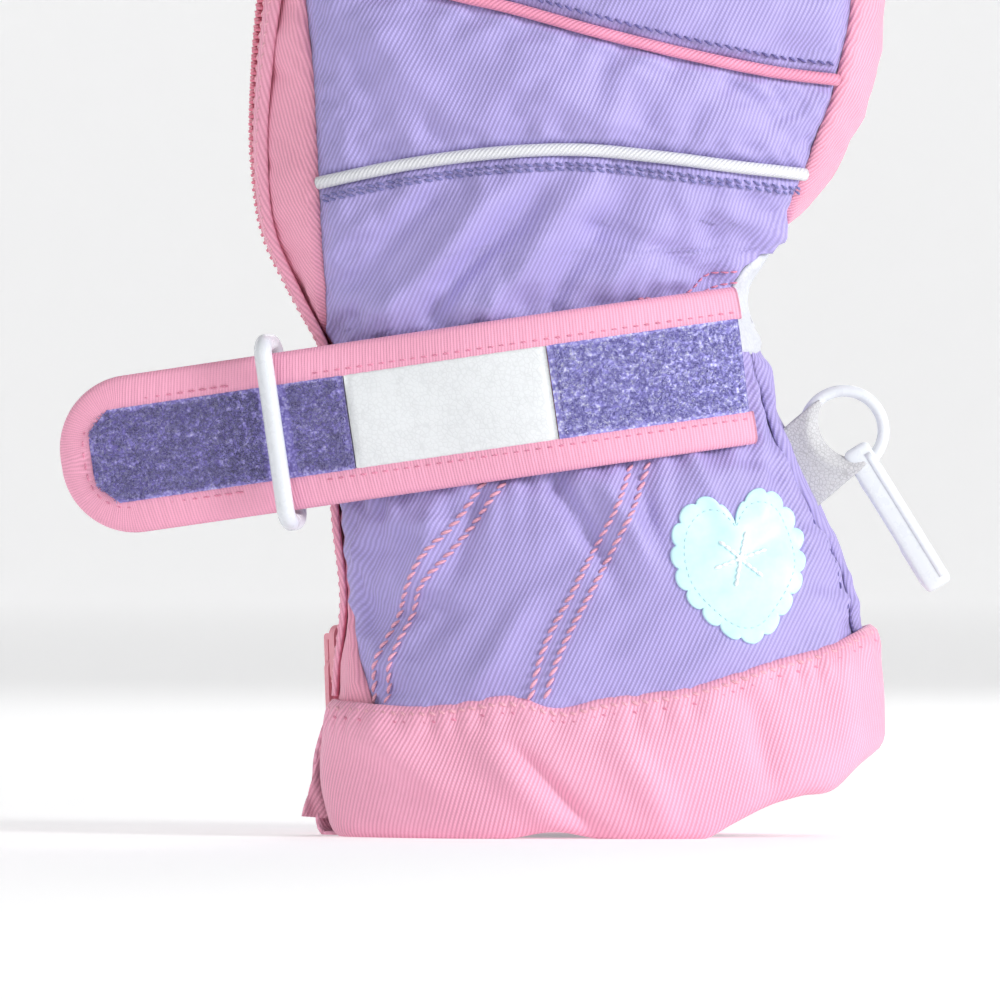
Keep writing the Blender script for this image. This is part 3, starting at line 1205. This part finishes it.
def ring_tab():
    """A webbing tab looped round the ring's back bar and sewn to the palm side of the wrist."""
    bar = ring_centre + strap_out * RING_BACK
    anchor = np.array([-27.0, BODY_Y + 16.5, 92.0])
    way = anchor - bar
    way -= strap_w * np.dot(way, strap_w)
    reach = np.linalg.norm(way)
    way /= reach
    off = np.cross(strap_w, way)
    middle = 2.9
    # the tab's route: distance from the bar's middle towards the seam, and off that line
    centre_line = [(reach, 0.9), (reach * 0.6, 1.0), (reach * 0.3, 1.3), (4.0, 2.3)]
    centre_line += [(middle * math.cos(a), middle * math.sin(a))
                    for a in np.linspace(0.9, 2 * math.pi - 0.9, 26)]
    centre_line += [(4.0, -2.3), (reach * 0.3, -1.3), (reach * 0.6, -1.0), (reach, -0.9)]
    rows = []
    for a, b in centre_line:
        rows.append([bar + way * a + off * b + strap_w * w for w in np.linspace(-11, 11, 14)])
    grid = np.array(rows)
    return thicken(mesh_object("ring_tab_loop", grid, grid_faces(len(rows), 14), cloth_coords(grid)), 0.95, 0.0)


tab_piece = ring_tab()
finish_piece(tab_piece, "mitten", webbing, "pink_webbing", "ring_tab")

# ---- side zip ------------------------------------------------------------------------------------
ZIP_LOW, ZIP_HIGH = (BODY_Y + 8.5, 33.0), (BODY_Y - 3.0, 212.0)


def zip_theta(z):
    """The angle round the tube of the zip's chain at each height."""
    share = (z - ZIP_LOW[1]) / (ZIP_HIGH[1] - ZIP_LOW[1])
    y = ZIP_LOW[0] + (ZIP_HIGH[0] - ZIP_LOW[0]) * share
    return math.pi + np.arcsin(np.clip((y - BODY_Y) / profile(z)[2], -0.98, 0.98))


def on_zip(z, across, out):
    """A point by the zip: across is the distance from the chain towards the palm."""
    z, across = np.asarray(z, float), np.asarray(across, float)
    centre, wide, deep = profile(z)
    theta = zip_theta(z)
    slope = np.hypot(wide * np.sin(theta), deep * np.cos(theta))
    theta = theta + across / np.maximum(slope, 6)
    points, normals = tube(theta, z), tube_normal(theta, z)
    return points + normals * np.asarray(out)[..., None], normals


def zip_strip(name, section, material, slot, *nodes):
    """A strip along the whole zip, from its section: distance from the chain, and height over the body."""
    across, out = np.array(section, float).T
    grid = np.array([on_zip(np.full_like(across, height), across, out)[0]
                     for height in np.linspace(31, 213, 130)])
    piece = mesh_object(name, grid, grid_faces(*grid.shape[:2]), cloth_coords(grid))
    return finish_piece(thicken(piece, 0.5), "mitten", material, slot, *nodes)


zip_strip("zip_tapes", [(-7, 0.4), (-4, 0.7), (-0.4, 0.8), (0.4, 0.8), (4, 0.7), (7, 0.4)], zip_cloth,
          "zip_tape", "zip_tape")
for name, side in (("zip_welt_back", -1), ("zip_welt_palm", 1)):
    rib = [(side * (2.6 + 4.4 * (1 - math.cos(a)) / 2), 0.5 + 1.35 * math.sin(a))
           for a in np.linspace(0.0, math.pi, 9)]
    zip_strip(name, rib if side > 0 else rib[::-1], pink_twill, "pink_twill")
    for row, across in enumerate((3.7, 5.6)):
        heights = np.linspace(33, 212, 160)
        path, normals = on_zip(heights, np.full_like(heights, side * across), np.full_like(heights, 1.9))
        stitch_row(f"stitch_{name}_{row}", path, normals, thread_pale, "mitten", "pink_twill", pitch=2.4,
                   length=2.2, radius=0.36, twist=True)


def zip_chain():
    """Coil turns along both sides of the chain."""
    points, faces = [], []
    for index, height in enumerate(np.arange(34.0, 211.0, 0.8)):
        side = 1 if index % 2 else -1
        faces += tube_faces(7, 5, base=len(points))
        for share in np.linspace(0, 1, 7):
            across = side * (2.5 - 3.4 * share)
            rise = 1.5 + 0.95 * math.sin(math.pi * min(share * 1.15, 1))
            spot, normal = on_zip(height, across, rise)
            ahead = on_zip(height + 0.5, across, rise)[0] - spot
            ahead /= np.linalg.norm(ahead)
            for k in range(5):
                turn = 2 * math.pi * k / 5
                points.append(spot + 0.48 * (ahead * math.cos(turn) + normal * math.sin(turn)))
    return mesh_object("zip_teeth", points, faces)


finish_piece(zip_chain(), "mitten", coil_plastic, "zip_coil", "zip_coil")
for name, material in (("zip_slider", enamel), ("zip_pull", enamel), ("zip_stops", coil_plastic)):
    for material_slot in bpy.data.objects[name].material_slots:
        material_slot.material = material

# ---- heart patch ------------------------------------------------------------------------------------
HEART_X, HEART_Z, HEART_TILT = 50.6, 60.4, math.radians(9)
LOBES = 19
# half of the heart: angle from straight up, and distance from the middle
heart_half = smooth_line([
    (0, 9.6), (0.1, 11.8), (0.22, 14.6), (0.37, 16.6), (0.55, 17.2), (0.8, 16.8), (1.1, 15.6), (1.4, 14.6),
    (1.75, 13.9), (2.1, 13.5), (2.45, 13.9), (2.75, 15.2), (2.98, 16.7), (3.1416, 17.2)])


def heart_radius(angle):
    """A plump heart's distance from its middle, by the angle from straight up."""
    folded = np.abs((np.asarray(angle) + math.pi) % (2 * math.pi) - math.pi)
    return heart_half(folded)


def heart_outline(angles):
    """Lobed edge: bumps of one width along the heart."""
    fine = np.linspace(0, 2 * math.pi, 1441)
    radius = heart_radius(fine)
    run = run_length(np.stack([radius * np.sin(fine), radius * np.cos(fine)], axis=1))
    place = np.interp(angles, fine, run) / run[-1] * LOBES
    bump = np.sqrt(np.clip(1 - ((place % 1.0) * 2 - 1) ** 2, 0, 1))
    return heart_radius(angles) - 1.1 + 1.6 * bump


def on_heart(a, b, out):
    """A point of the patch from its own x and z."""
    x = HEART_X + a * math.cos(HEART_TILT) - b * math.sin(HEART_TILT)
    z = HEART_Z + a * math.sin(HEART_TILT) + b * math.cos(HEART_TILT)
    return on_back(x, z, out)


angles = np.linspace(0, 2 * math.pi, 380, endpoint=False)
edge_radius = heart_outline(angles)
rings = [(share, 0.62) for share in np.linspace(0.04, 0.975, 16)] + [(0.995, 0.5), (1.0, 0.25), (1.0, -0.1)]
heart_rows = [on_heart(edge_radius * share * np.sin(angles), edge_radius * share * np.cos(angles), out)[0]
              for share, out in rings]
heart_faces = grid_faces(len(rings), len(angles), closed=True, flip=True)
heart_faces.append(tuple(range(len(angles))))
heart_film = Shade("heart_film", (0.60, 0.93, 0.96), roughness=0.42, specular=0.4)
film = heart_film.noise(500.0, 3.0)
heart_film.paint(heart_film.ramp(film, [(0.3, (0.56, 0.87, 0.92)), (0.7, (0.62, 0.92, 0.955))]))
heart_film.bump(film, 0.15, 0.06)
heart_piece = mesh_object("heart_patch_film", heart_rows, heart_faces)
finish_piece(heart_piece, "mitten", heart_film.material, "heart_film", "heart_patch")
dash_angles = np.linspace(0, 2 * math.pi, 400)
dash_radius = heart_radius(dash_angles) * 0.83
dash_path, dash_normals = on_heart(dash_radius * np.sin(dash_angles), dash_radius * np.cos(dash_angles), 0.62)
thread_ice = thread("thread_ice", (0.50, 0.74, 0.80))
thread_snow = Shade("snow_print", (0.93, 0.96, 0.98), roughness=0.4).material
stitch_row("heart_dashes", dash_path, dash_normals, thread_ice, "mitten", "heart_film", pitch=1.6, length=0.9,
           radius=0.12)
for arm in range(3):
    turn = math.pi * arm / 3 + 0.2
    reach = np.linspace(-6.0, 6.0, 24)
    arm_path, arm_normals = on_heart(reach * math.cos(turn), 1.0 + reach * math.sin(turn), 0.62)
    stitch_row(f"heart_flake_{arm}", arm_path, arm_normals, thread_snow, "mitten", "heart_film", pitch=1.5,
               length=1.9, radius=0.42)

# ---- glove clip and its leather tab --------------------------------------------------------------------
EYE = np.array([74.6, BODY_Y - 2.0, 90.4])
EYE_RADIUS, EYE_WIRE = 8.85, 1.35
SPINE_ANGLE, TAB_ANGLE = math.radians(-58.3), math.radians(40.5)
spine_a = np.array([math.cos(SPINE_ANGLE), 0, math.sin(SPINE_ANGLE)])
spine_b = np.array([-math.sin(SPINE_ANGLE), 0, math.cos(SPINE_ANGLE)])
front = np.array([0, -1.0, 0])


def clip_point(a, b, c):
    """A point of the clip: along its spine from the eye, across it and towards the front."""
    return EYE + spine_a * a + spine_b * b + front * c


def bar_loft(stations):
    """A moulded bar: each station is a place along the spine, a half width and the depths it spans."""
    points, sides = [], 24
    for a, half, low, high in stations:
        middle, tall = (low + high) / 2, (high - low) / 2
        for k in range(sides):
            turn = 2 * math.pi * k / sides
            cosine, sine = math.cos(turn), math.sin(turn)
            b = half * math.copysign(abs(cosine) ** 0.55, cosine)
            c = middle + tall * math.copysign(abs(sine) ** 0.55, sine)
            points.append(clip_point(a, b, c))
    return points, tube_faces(len(stations), sides)


def join_meshes(name, parts):
    """One object from several lists of points and faces."""
    points, faces = [], []
    for some_points, some_faces in parts:
        base = len(points)
        points += [np.asarray(p) for p in some_points]
        faces += [tuple(base + i for i in face) for face in some_faces]
    return mesh_object(name, points, faces)


def spine_parts():
    """The clip's spine, its hooked end of heel and nose, and the neck that carries the gate."""
    low, high = -1.0, 2.2
    ends = [(4.3, 1.9, low + 0.8, high - 0.9), (4.6, 2.6, low + 0.3, high - 0.35), (5.2, 3.1, low, high)]
    run = [(a, 3.2, low, high) for a in np.linspace(6, 38.6, 24)]
    tip = [(39.6, 3.15, low, high), (40.4, 2.9, low + 0.1, high - 0.2), (40.85, 2.4, low + 0.6, high - 0.8)]
    heel = [(37.0, 2.7, -8.6, 1.0), (37.4, 3.1, -9.4, 1.4), (39.0, 3.2, -9.7, 1.6), (40.4, 2.9, -9.4, 1.4),
            (40.9, 2.4, -8.6, 1.0)]
    nose = [(28.0, 1.8, -9.0, -7.7), (28.5, 2.9, -9.7, -7.2), (30, 3.2, -9.8, -7.2), (39, 3.2, -9.8, -7.2)]
    neck = [(11.4, 2.6, -9.4, 0.4), (11.8, 3.1, -9.8, 0.6), (13.3, 3.2, -9.9, 0.8), (14.8, 3.1, -9.8, 0.6),
            (15.2, 2.6, -9.4, 0.4)]
    return [bar_loft(stations) for stations in (ends + run + tip, heel, nose, neck)]


def ridge():
    """The raised ridge along the thumb-side edge of the spine."""
    sides, stations = 8, np.linspace(7.0, 39.0, 20)
    points = [clip_point(a, 1.7 + 0.75 * math.cos(turn), 2.15 + 0.38 * math.sin(turn))
              for a in stations for turn in np.linspace(0, 2 * math.pi, sides, endpoint=False)]
    return points, tube_faces(len(stations), sides)


def eye_parts():
    """The round eye that turns in the leather tab."""
    points, sides, count = [], 16, 72
    for index in range(count):
        turn = 2 * math.pi * index / count
        out = np.array([math.cos(turn), 0, math.sin(turn)])
        for k in range(sides):
            around = 2 * math.pi * k / sides
            reach = EYE_RADIUS + EYE_WIRE * math.cos(around)
            points.append(EYE + out * reach + front * EYE_WIRE * math.sin(around))
    return points, ring_faces(count, sides)


clip_piece = join_meshes("clip_body", spine_parts() + [ridge(), eye_parts()])
finish_piece(clip_piece, "clip", white_plastic, "white_plastic", "clip_hook")
gate = bar_loft([(15.7, 2.3, -9.1, -7.6), (16.2, 2.7, -9.3, -7.5), (21, 2.7, -9.2, -7.5),
                 (27.0, 2.7, -9.3, -7.5), (27.5, 2.3, -9.0, -7.7)])
finish_piece(mesh_object("clip_spring_gate", *gate), "gate", white_plastic, "white_plastic", "clip_gate")


def clip_tab():
    """Leather folded round the eye's wire and sewn into the wrist seam."""
    way = np.array([math.cos(TAB_ANGLE), 0, math.sin(TAB_ANGLE)])
    side = np.array([-math.sin(TAB_ANGLE), 0, math.cos(TAB_ANGLE)])
    root, wrap = -21.0, EYE_WIRE + 0.75
    shares = np.array([0, 0.25, 0.5, 0.72, 0.88, 0.96])
    width = np.linspace(-9.1, 9.1, 26)
    wire = -0.92 * np.sqrt(np.maximum(EYE_RADIUS ** 2 - np.minimum(np.abs(width), 8.4) ** 2, 2.0))

    def row(along, across, depth):
        return EYE + np.outer(along, way) + np.outer(across, side) + front * depth

    def leaf(share, face):
        return row(root + (wire - root) * share, width, face * (1.0 + (wrap - 1.0) * share ** 3))

    fold = [row(wire + wrap * math.cos(turn) * 1.35, width * (1 - 0.03 * math.cos(turn)), wrap * math.sin(turn))
            for turn in np.linspace(math.pi / 2, -math.pi / 2, 13)]
    grid = np.array([leaf(share, 1) for share in shares] + fold + [leaf(share, -1) for share in shares[::-1]])
    piece = mesh_object("clip_leather_tab", grid, grid_faces(*grid.shape[:2]), cloth_coords(grid))
    return thicken(piece, 0.9, 0.0)


finish_piece(clip_tab(), "mitten", tab_leather, "tab_leather", "clip_tab")

# ---- camera, floor and light ------------------------------------------------------------------------------
VIEW_X, VIEW_Z, VIEW_WIDTH, LENS, SENSOR = -2.1, 74.9, 222.2, 400.0, 36.0
distance = VIEW_WIDTH * LENS / SENSOR
camera = bpy.data.objects.new("camera", bpy.data.cameras.new("camera"))
camera.data.lens, camera.data.sensor_width = LENS, SENSOR
camera.data.clip_end = 30.0
camera.location = (VIEW_X * MM, (BODY_Y - 12.0 - distance) * MM, VIEW_Z * MM)
camera.rotation_euler = (math.pi / 2, 0, 0)
bpy.context.scene.collection.objects.link(camera)
bpy.context.scene.camera = camera


def studio():
    """A round white floor that curves up into a wall all round."""
    radius, wall, curve = 7.0, 6.0, 1.2
    marks = [(0.4, 0.0), (1.5, 0.0), (radius - curve, 0.0)]
    marks += [(radius - curve + curve * math.sin(a), curve - curve * math.cos(a))
              for a in np.linspace(0.1, math.pi / 2, 16)]
    marks.append((radius, wall))
    points, sides = [], 96
    for reach, height in marks:
        points += [np.array([reach * math.cos(t), reach * math.sin(t), height]) / MM
                   for t in np.linspace(0, 2 * math.pi, sides, endpoint=False)]
    faces = grid_faces(len(marks), sides, closed=True)
    faces.append(tuple(range(sides - 1, -1, -1)))
    floor = mesh_object("studio_floor", points, faces)
    paper = Shade("studio_paper", (0.93, 0.93, 0.935), roughness=0.9, specular=0.1)
    paper.shader.inputs["Emission Color"].default_value = (1, 1, 1, 1)
    paper.shader.inputs["Emission Strength"].default_value = 0.3
    floor.data.materials.append(paper.material)


studio()
world = bpy.data.worlds.new("studio")
bpy.context.scene.world = world
world.use_nodes = True
world.node_tree.nodes["Background"].inputs[0].default_value = (1.0, 1.0, 1.0, 1)
world.node_tree.nodes["Background"].inputs[1].default_value = 0.2


def area_light(name, place, target, size, power):
    """A round lamp in metres and watts, aimed at a point."""
    lamp = bpy.data.objects.new(name, bpy.data.lights.new(name, "AREA"))
    lamp.data.shape, lamp.data.size, lamp.data.energy = "DISK", size, power
    lamp.location = place
    lamp.rotation_euler = (Vector(target) - Vector(place)).to_track_quat("-Z", "Y").to_euler()
    bpy.context.scene.collection.objects.link(lamp)


area_light("key", (1.6, -0.95, 0.62), (0, 0, 0.12), 0.45, 25.0)
area_light("fill", (-1.3, -1.2, 0.5), (0, 0, 0.12), 1.2, 2.0)
area_light("rim", (0.4, 1.4, 1.0), (0, 0, 0.14), 0.8, 5.0)
bpy.context.scene.view_settings.view_transform = "Standard"
